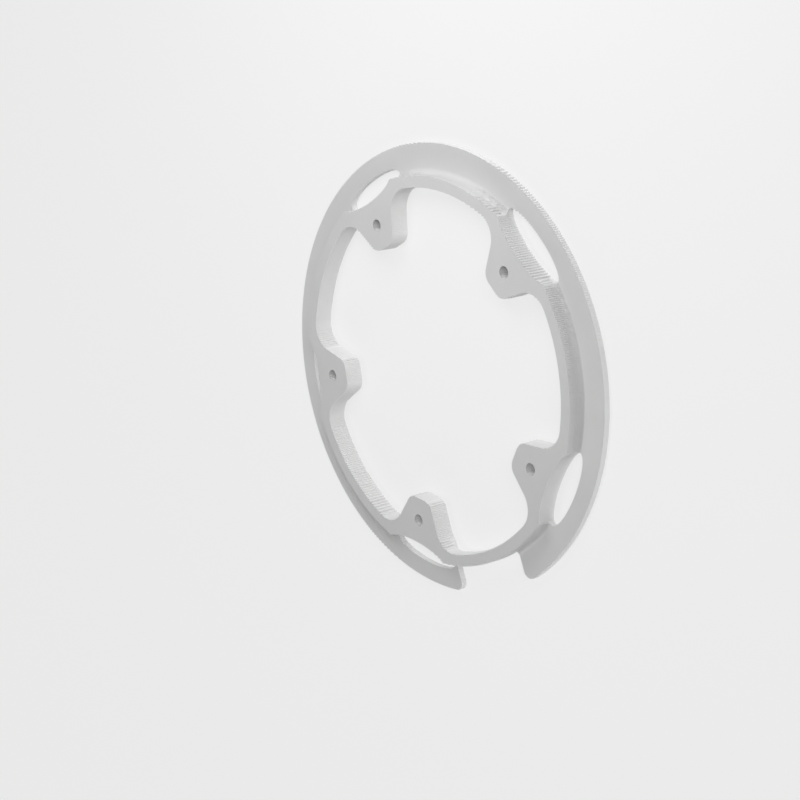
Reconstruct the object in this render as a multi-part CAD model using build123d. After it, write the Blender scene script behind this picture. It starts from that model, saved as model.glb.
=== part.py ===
from build123d import *
import math
import os

# Bicycle chain guard: a flat flange with a raised band, five bolt tabs and one gap for the chain.
# Millimetres. The back face lies on z = 0, the raised side looks up and the bolt circle is centred
# on the origin. One tab points in from +Y.

# Sizes that drive the part
bolt_circle_d = 130.0        # the bolts sit on this circle
tab_count = 5
bolt_hole_d = 5.0            # plain through hole in each tab
band_offset = 10.3           # from the bolt circle out to the inside of the band
band_wall = 4.6              # thickness of the raised band, inside to outside
flange_width = 12.6          # from the outside of the band to the rim
flange_t = 2.6               # thickness of the flange
band_rise = 5.7              # height of the band and tabs over the flange
foot_r = 2.5                 # hollow corner where the band meets the flange

tab_reach = 9.65             # from the bolt centre in to the tab's flat end
tab_half_width = 10.8        # half the tab's width at the bolt centre
tab_lean = 26.3              # each side of a tab leans out from its axis by this, degrees
tab_tip_r = 5.4              # rounding of the tab's two free corners
tab_root_r = 10.0            # rounding where the tab runs into the band

window_length = 36.0         # oval window behind each tab, long axis
window_width = 10.0

gap_width = 40.0             # the flange is missing over this width
gap_turn = -8.0              # the gap stands this far off the middle between two tabs, degrees
gap_lip_r = 3.5              # rounding of the flange's corners at the gap

# Sizes worked out from them
bolt_r = bolt_circle_d / 2
opening_r = bolt_r + band_offset
band_r = opening_r + band_wall
guard_r = band_r + flange_width
total_t = flange_t + band_rise
tab_step = 360 / tab_count
gap_angle = -90 + gap_turn
past = 1.0                   # how far a cutter runs past the face it cuts


def tab_blank():
    """One tab on the +Y axis, from its flat end out to the middle of the band."""
    slope = math.tan(math.radians(tab_lean))
    y_tip = bolt_r - tab_reach
    y_root = opening_r + band_wall / 2
    half_tip = tab_half_width - tab_reach * slope
    half_root = tab_half_width + (y_root - bolt_r) * slope
    with BuildSketch() as s:
        Polygon((-half_tip, y_tip), (half_tip, y_tip), (half_root, y_root), (-half_root, y_root), align=None)
        fillet(s.vertices().sort_by(Axis.Y)[:2], tab_tip_r)
    return s.sketch


# Band and tabs, seen from above
with BuildSketch() as tabs_outline:
    Circle(band_r - band_wall / 4)
    Circle(opening_r, mode=Mode.SUBTRACT)
    for i in range(tab_count):
        add(tab_blank(), rotation=i * tab_step)
    roots = [v for v in tabs_outline.vertices() if abs(math.hypot(v.X, v.Y) - opening_r) < 0.01]
    fillet(roots, tab_root_r)

# Flange with the corners of its gap rounded, and the band that bridges the gap, seen from above
with BuildSketch() as guard_outline:
    Circle(guard_r)
    with Locations(Location((0, 0), gap_angle)):
        Rectangle(2 * guard_r, gap_width, align=(Align.MIN, Align.CENTER), mode=Mode.SUBTRACT)
    lips = [v for v in guard_outline.vertices() if math.hypot(v.X, v.Y) > guard_r - 0.01]
    fillet(lips, gap_lip_r)
    Circle(band_r)

# Half section of flange and band, turned once round the axis
with BuildPart() as guard:
    with BuildSketch(Plane.XZ):
        with BuildLine():
            Polyline((opening_r, total_t), (opening_r, 0), (guard_r, 0), (guard_r, flange_t),
                     (band_r + foot_r, flange_t))
            RadiusArc((band_r + foot_r, flange_t), (band_r, flange_t + foot_r), foot_r)
            Polyline((band_r, flange_t + foot_r), (band_r, total_t), (opening_r, total_t))
        make_face()
    revolve(axis=Axis.Z)
    extrude(guard_outline.sketch, amount=total_t, mode=Mode.INTERSECT)
    extrude(tabs_outline.sketch, amount=total_t)

    # the gap goes right through the flange layer, also under the band
    with Locations(Location((0, 0, -past), gap_angle)):
        Box(2 * guard_r, gap_width, flange_t + past, align=(Align.MIN, Align.CENTER, Align.MIN),
            mode=Mode.SUBTRACT)

    with BuildSketch() as openings:
        with PolarLocations(band_r, tab_count, start_angle=90):
            Ellipse(window_width / 2, window_length / 2)
        with PolarLocations(bolt_r, tab_count, start_angle=90):
            Circle(bolt_hole_d / 2)
    extrude(amount=total_t + past, mode=Mode.SUBTRACT)

chain_guard = guard.part
chain_guard.label = "chain_guard"
chain_guard.color = Color(0.72, 0.72, 0.72)

os.makedirs("parts", exist_ok=True)
export_step(chain_guard, "parts/chain_guard.step")
b = chain_guard.bounding_box()
print("solids", len(chain_guard.solids()), "volume", round(chain_guard.volume), "size", b.size)
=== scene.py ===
import math

import bmesh
import bpy
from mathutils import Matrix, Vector
from mathutils.kdtree import KDTree


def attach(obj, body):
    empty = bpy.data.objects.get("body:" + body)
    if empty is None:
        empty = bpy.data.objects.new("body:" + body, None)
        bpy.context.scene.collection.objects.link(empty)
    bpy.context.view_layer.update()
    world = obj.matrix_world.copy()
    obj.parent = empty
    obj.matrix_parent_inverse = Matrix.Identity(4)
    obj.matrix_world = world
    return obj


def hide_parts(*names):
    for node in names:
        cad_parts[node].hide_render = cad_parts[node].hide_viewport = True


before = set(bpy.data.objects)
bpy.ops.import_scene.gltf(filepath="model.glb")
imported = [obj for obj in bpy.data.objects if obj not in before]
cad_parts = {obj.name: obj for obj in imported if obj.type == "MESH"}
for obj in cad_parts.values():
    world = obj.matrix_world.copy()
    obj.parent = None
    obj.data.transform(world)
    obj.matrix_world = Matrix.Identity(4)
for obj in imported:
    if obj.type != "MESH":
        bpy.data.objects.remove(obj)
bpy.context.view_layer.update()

# The guard: one flat ring of light grey plastic with a raised band and a gap, bolted on through five
# tabs. It is printed standing on its edge, so its upright walls climb in the small steps of the layers,
# while its flat faces stand square to the layers and come out smooth. Lengths are in metres.
layer_height = 0.000666
build_turn = math.radians(55.5)      # the way the layers are stacked, round the ring's axis
step_edge = 0.03                     # share of a layer over which one step passes to the next
step_share = 1.0                     # 1 gives the full steps of the layers, 0 gives plain walls
tight_bend = 0.2                     # in a tight bend, a step is at most this share of its radius
near_corner = 1.2                    # and at most this times the way from a sharp corner, less one layer
ease_from = 0.15                     # a wall that runs along the layers has no steps up to this slant
ease_over = 0.12                     # and they come in over this much more of it
corner_match = 0.89                  # walls whose directions agree less than this meet at a sharp corner
straight_turn = 0.01                 # facets that turn less than this, in radians, lie on a straight wall
corner_turn = 0.7                    # and those that turn more than this stand at a corner
no_bend = 1.0                        # bend radius that is given to a straight wall
same_point = 1e-6                    # points nearer than this are one point
same_level = 1e-5                    # and edges nearer than this to a flat face belong to it

guard_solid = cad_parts["chain_guard"]
build_way = Vector((math.cos(build_turn), math.sin(build_turn), 0.0))
cross_way = Vector((-build_way.y, build_way.x, 0.0))


def is_flat(face):
    """Whether a face is part of the guard's flat faces, which are square to its axis."""
    return abs(face.normal.z) > 0.9999


flat_levels = sorted({round(face.center.z, 6) for face in guard_solid.data.polygons if is_flat(face)})


def cut_at_layers(shape, walls, low, high):
    """Cut the walls just under and just over each layer from low to high, the middle one first."""
    if low > high or not walls:
        return
    middle = (low + high) // 2
    for edge_of_step in (-step_edge, step_edge):
        near = walls | {e for f in walls for e in f.edges} | {v for f in walls for v in f.verts}
        height = (middle + edge_of_step) * layer_height
        cut = bmesh.ops.bisect_plane(shape, geom=list(near), dist=1e-7, plane_no=build_way,
                                     plane_co=build_way * height)
        split = [e for e in cut["geom_cut"] if isinstance(e, bmesh.types.BMEdge)]
        walls = walls | {f for e in split for f in e.link_faces}
    above = {f for f in walls if f.calc_center_median().dot(build_way) > middle * layer_height}
    cut_at_layers(shape, walls - above, low, middle - 1)
    cut_at_layers(shape, above, middle + 1, high)


def bend_radius(wall):
    """How tightly the walls bend here, read from the facets beside this one."""
    bends = [wall.calc_area() / edge.calc_length() / edge.calc_face_angle() for edge in wall.edges
             if edge.is_manifold and straight_turn < edge.calc_face_angle() < corner_turn
             and abs(edge.verts[0].co.z - edge.verts[1].co.z) > edge.calc_length() / 2]
    return min(bends, default=no_bend)


def sharp_corners(shape):
    """A search tree of the points at which walls meet at a sharp corner, as seen from above."""
    corners = []
    for v in shape.verts:
        ways = [f.normal.xy.normalized() for f in v.link_faces]
        if any(a.dot(b) < corner_match for a in ways for b in ways):
            corners.append(v.co.copy())
    tree = KDTree(len(corners))
    for number, corner in enumerate(corners):
        tree.insert(corner, number)
    tree.balance()
    return tree


def layered_walls(solid):
    """The solid's walls cut at the layers. Each point keeps how far a wall leans over the layers."""
    shape = bmesh.new()
    shape.from_mesh(solid.data)
    bmesh.ops.remove_doubles(shape, verts=shape.verts, dist=same_point)
    bmesh.ops.delete(shape, geom=[f for f in shape.faces if is_flat(f)], context="FACES")
    bend = shape.faces.layers.float.new("bend")
    for wall in shape.faces:
        wall[bend] = bend_radius(wall)
    corners = sharp_corners(shape)
    layers = [v.co.dot(build_way) / layer_height for v in shape.verts]
    cut_at_layers(shape, set(shape.faces), math.ceil(min(layers)), math.floor(max(layers)))
    lean = []
    for v in shape.verts:
        out = sum((f.normal.xy.to_3d().normalized() for f in v.link_faces), Vector()).normalized()
        across = out.dot(cross_way)
        easing = min(max((abs(across) - ease_from) / ease_over, 0.0), 1.0)
        steep = easing * out.dot(build_way) / across if easing else 0.0
        from_corner = max(corners.find(v.co)[2] - layer_height, 0.0)
        most = min(tight_bend * min(f[bend] for f in v.link_faces), near_corner * from_corner)
        room = most / (layer_height / 2)
        lean.append(min(max(steep, -room), room))
    mesh = bpy.data.meshes.new("printed_guard")
    shape.to_mesh(mesh)
    shape.free()
    mesh.attributes.new("lean", "FLOAT", "POINT").data.foreach_set("value", lean)
    piece = bpy.data.objects.new("printed_guard", mesh)
    bpy.context.scene.collection.objects.link(piece)
    return piece


def layer_steps():
    """Geometry nodes that move each layer's walls level with the middle of that layer."""
    tree = bpy.data.node_groups.new("layer_steps", "GeometryNodeTree")
    side = tree.interface
    side.new_socket("Geometry", in_out="INPUT", socket_type="NodeSocketGeometry")
    side.new_socket("Layer Height", in_out="INPUT", socket_type="NodeSocketFloat")
    side.new_socket("Step Share", in_out="INPUT", socket_type="NodeSocketFloat")
    side.new_socket("Build Way", in_out="INPUT", socket_type="NodeSocketVector")
    side.new_socket("Cross Way", in_out="INPUT", socket_type="NodeSocketVector")
    side.new_socket("Plastic", in_out="INPUT", socket_type="NodeSocketMaterial")
    side.new_socket("Geometry", in_out="OUTPUT", socket_type="NodeSocketGeometry")
    node, link = tree.nodes.new, tree.links.new
    start, end = node("NodeGroupInput"), node("NodeGroupOutput")

    def worked_out(operation, first, second=None):
        """One sum of the tree, from sockets or plain numbers."""
        step = node("ShaderNodeMath")
        step.operation = operation
        for socket, given in zip(step.inputs, (first, second)):
            if isinstance(given, float):
                socket.default_value = given
            elif given is not None:
                link(given, socket)
        return step.outputs[0]

    place = node("GeometryNodeInputPosition")
    up_the_stack = node("ShaderNodeVectorMath")
    up_the_stack.operation = "DOT_PRODUCT"
    link(place.outputs[0], up_the_stack.inputs[0])
    link(start.outputs["Build Way"], up_the_stack.inputs[1])
    layers = worked_out("DIVIDE", up_the_stack.outputs["Value"], start.outputs["Layer Height"])
    from_middle = worked_out("SUBTRACT", worked_out("FRACT", layers), 0.5)
    height = worked_out("MULTIPLY", from_middle, start.outputs["Layer Height"])
    lean = node("GeometryNodeInputNamedAttribute")
    lean.data_type = "FLOAT"
    lean.inputs["Name"].default_value = "lean"
    whole_step = worked_out("MULTIPLY", height, lean.outputs["Attribute"])
    step = worked_out("MULTIPLY", whole_step, start.outputs["Step Share"])
    shift = node("ShaderNodeVectorMath")
    shift.operation = "SCALE"
    link(start.outputs["Cross Way"], shift.inputs[0])
    link(step, shift.inputs["Scale"])
    move = node("GeometryNodeSetPosition")
    link(start.outputs["Geometry"], move.inputs["Geometry"])
    link(shift.outputs[0], move.inputs["Offset"])

    # each flat face is filled again between the stepped edges of the walls at its level
    faces_by_edge = node("GeometryNodeInputMeshEdgeNeighbors")
    open_edge = worked_out("LESS_THAN", faces_by_edge.outputs[0], 1.5)
    level_of = node("ShaderNodeSeparateXYZ")
    link(place.outputs[0], level_of.inputs[0])
    whole = node("GeometryNodeJoinGeometry")
    link(move.outputs[0], whole.inputs[0])
    for level in flat_levels:
        off_level = worked_out("ABSOLUTE", worked_out("SUBTRACT", level_of.outputs["Z"], level))
        on_level = worked_out("LESS_THAN", off_level, same_level)
        rim = node("GeometryNodeMeshToCurve")
        link(move.outputs[0], rim.inputs["Mesh"])
        link(worked_out("MULTIPLY", open_edge, on_level), rim.inputs["Selection"])
        flat = node("GeometryNodeFillCurve")
        link(rim.outputs[0], flat.inputs[0])
        lift = node("GeometryNodeSetPosition")
        lift.inputs["Offset"].default_value = (0.0, 0.0, level)
        link(flat.outputs[0], lift.inputs["Geometry"])
        link(lift.outputs[0], whole.inputs[0])
    closed = node("GeometryNodeMergeByDistance")
    closed.inputs["Distance"].default_value = same_point
    link(whole.outputs[0], closed.inputs["Geometry"])
    real = node("GeometryNodeRealizeInstances")
    link(closed.outputs[0], real.inputs[0])
    coat = node("GeometryNodeSetMaterial")
    link(real.outputs[0], coat.inputs["Geometry"])
    link(start.outputs["Plastic"], coat.inputs["Material"])
    link(coat.outputs[0], end.inputs[0])
    return tree


def turned_outwards(mesh):
    """Turn every face of the guard outwards and keep each step crisp."""
    shape = bmesh.new()
    shape.from_mesh(mesh)
    bmesh.ops.recalc_face_normals(shape, faces=shape.faces)
    shape.to_mesh(mesh)
    shape.free()
    mesh.shade_flat()


def printed_plastic():
    """Light grey matt plastic: even, very slightly cloudy, with the faint grain of a print."""
    plastic = bpy.data.materials.new("printed_plastic")
    plastic.use_nodes = True
    node, link = plastic.node_tree.nodes.new, plastic.node_tree.links.new
    skin = plastic.node_tree.nodes["Principled BSDF"]
    skin.inputs["Specular IOR Level"].default_value = 0.3
    spot = node("ShaderNodeTexCoord").outputs["Object"]

    cloud = node("ShaderNodeTexNoise")
    cloud.inputs["Scale"].default_value = 60.0
    cloud.inputs["Detail"].default_value = 3.0
    link(spot, cloud.inputs["Vector"])
    grey = node("ShaderNodeValToRGB")
    grey.color_ramp.elements[0].position = 0.3
    grey.color_ramp.elements[0].color = (0.545, 0.545, 0.545, 1)
    grey.color_ramp.elements[1].position = 0.7
    grey.color_ramp.elements[1].color = (0.565, 0.565, 0.565, 1)
    link(cloud.outputs["Fac"], grey.inputs["Fac"])
    link(grey.outputs["Color"], skin.inputs["Base Color"])

    dull = node("ShaderNodeMapRange")
    dull.inputs["To Min"].default_value = 0.6
    dull.inputs["To Max"].default_value = 0.75
    link(cloud.outputs["Fac"], dull.inputs["Value"])
    link(dull.outputs[0], skin.inputs["Roughness"])

    grain = node("ShaderNodeTexNoise")
    grain.inputs["Scale"].default_value = 2500.0
    grain.inputs["Detail"].default_value = 2.0
    link(spot, grain.inputs["Vector"])
    relief = node("ShaderNodeBump")
    relief.inputs["Strength"].default_value = 0.15
    relief.inputs["Distance"].default_value = 0.00005
    link(grain.outputs["Fac"], relief.inputs["Height"])
    link(relief.outputs["Normal"], skin.inputs["Normal"])
    return plastic


printed = layered_walls(guard_solid)
steps = printed.modifiers.new("layers", "NODES")
steps.node_group = layer_steps()
sockets = steps.node_group.interface.items_tree
named = {socket.name: socket.identifier for socket in sockets if socket.in_out == "INPUT"}
steps[named["Layer Height"]] = layer_height
steps[named["Step Share"]] = step_share
steps[named["Build Way"]] = build_way
steps[named["Cross Way"]] = cross_way
steps[named["Plastic"]] = printed_plastic()
stepped = bpy.data.meshes.new_from_object(printed.evaluated_get(bpy.context.evaluated_depsgraph_get()))
printed.modifiers.clear()
printed.data = stepped
turned_outwards(stepped)
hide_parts("chain_guard")
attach(printed, "root")

# The table top that the guard lies on: a white sheet lit through from below, as small products are
# often shown. It throws soft light up on the guard's walls. Its glow is stronger for that light than
# for the camera, which sees an even pale floor with only a faint shadow.
floor_white = 0.2
floor_glow = 1.3                     # towards the guard
seen_white = 0.15
seen_glow = 0.715                    # to the camera and in mirroring surfaces

bpy.ops.mesh.primitive_plane_add(size=6.0)
floor = bpy.context.object
floor.name = "light_table"
sheet = bpy.data.materials.new("lit_sheet")
sheet.use_nodes = True
node, link = sheet.node_tree.nodes.new, sheet.node_tree.links.new
surface = sheet.node_tree.nodes["Material Output"].inputs["Surface"]
below = sheet.node_tree.nodes["Principled BSDF"]
seen = node("ShaderNodeBsdfPrincipled")
for shader, white, glow in ((below, floor_white, floor_glow), (seen, seen_white, seen_glow)):
    shader.inputs["Base Color"].default_value = (white, white, white, 1)
    shader.inputs["Roughness"].default_value = 1.0
    shader.inputs["Specular IOR Level"].default_value = 0.0
    shader.inputs["Emission Color"].default_value = (1, 1, 1, 1)
    shader.inputs["Emission Strength"].default_value = glow
rays = node("ShaderNodeLightPath")
camera_or_gloss = node("ShaderNodeMath")
camera_or_gloss.operation = "MAXIMUM"
link(rays.outputs["Is Camera Ray"], camera_or_gloss.inputs[0])
link(rays.outputs["Is Glossy Ray"], camera_or_gloss.inputs[1])
either = node("ShaderNodeMixShader")
link(camera_or_gloss.outputs[0], either.inputs["Fac"])
link(below.outputs[0], either.inputs[1])
link(seen.outputs[0], either.inputs[2])
link(either.outputs[0], surface)
floor.data.materials.append(sheet)

# The studio: one clear lamp high on the left and soft boxes far off, each a sun lamp with a wide disc,
# and one small soft box near the side of the guard that is up in the picture, which makes that side
# paler. Turn is counted round the axis from -Y, lift is the height over the table, both in degrees.
far_lamps = {
    "high_lamp": dict(turn=255, lift=68, disc=6, power=0.77),
    "side_right": dict(turn=90, lift=35, disc=30, power=1.59),
    "low_left": dict(turn=300, lift=12, disc=30, power=0.80),
    "low_front": dict(turn=330, lift=12, disc=30, power=1.19),
}
near_box_place = Vector((0.172, 0.246, 0.2))
near_box_side = 0.2
near_box_power = 0.7

for name, far_lamp in far_lamps.items():
    lamp = bpy.data.lights.new(name, "SUN")
    lamp.energy = far_lamp["power"]
    lamp.angle = math.radians(far_lamp["disc"])
    stand = bpy.data.objects.new(name, lamp)
    stand.rotation_euler = (math.radians(90 - far_lamp["lift"]), 0.0, math.radians(far_lamp["turn"]))
    bpy.context.scene.collection.objects.link(stand)
lamp = bpy.data.lights.new("near_box", "AREA")
lamp.size = near_box_side
lamp.energy = near_box_power
stand = bpy.data.objects.new("near_box", lamp)
stand.location = near_box_place
stand.rotation_euler = (-near_box_place).to_track_quat("-Z", "Y").to_euler()
stand.visible_camera = False
bpy.context.scene.collection.objects.link(stand)

world = bpy.data.worlds.new("room")
world.use_nodes = True
world.node_tree.nodes["Background"].inputs["Strength"].default_value = 0.0
bpy.context.scene.world = world
bpy.context.scene.view_settings.view_transform = "Standard"

# The camera: the photo's view, rolled so that the ring stands in the picture as it does there.
camera = bpy.data.objects.new("camera", bpy.data.cameras.new("camera"))
bpy.context.scene.collection.objects.link(camera)
camera.location = (0.56339, -0.10697, 0.47783)
camera.rotation_euler = [math.radians(a) for a in (-16.0290, 49.9095, -30.5559)]
camera.data.lens = 82.342
bpy.context.scene.camera = camera
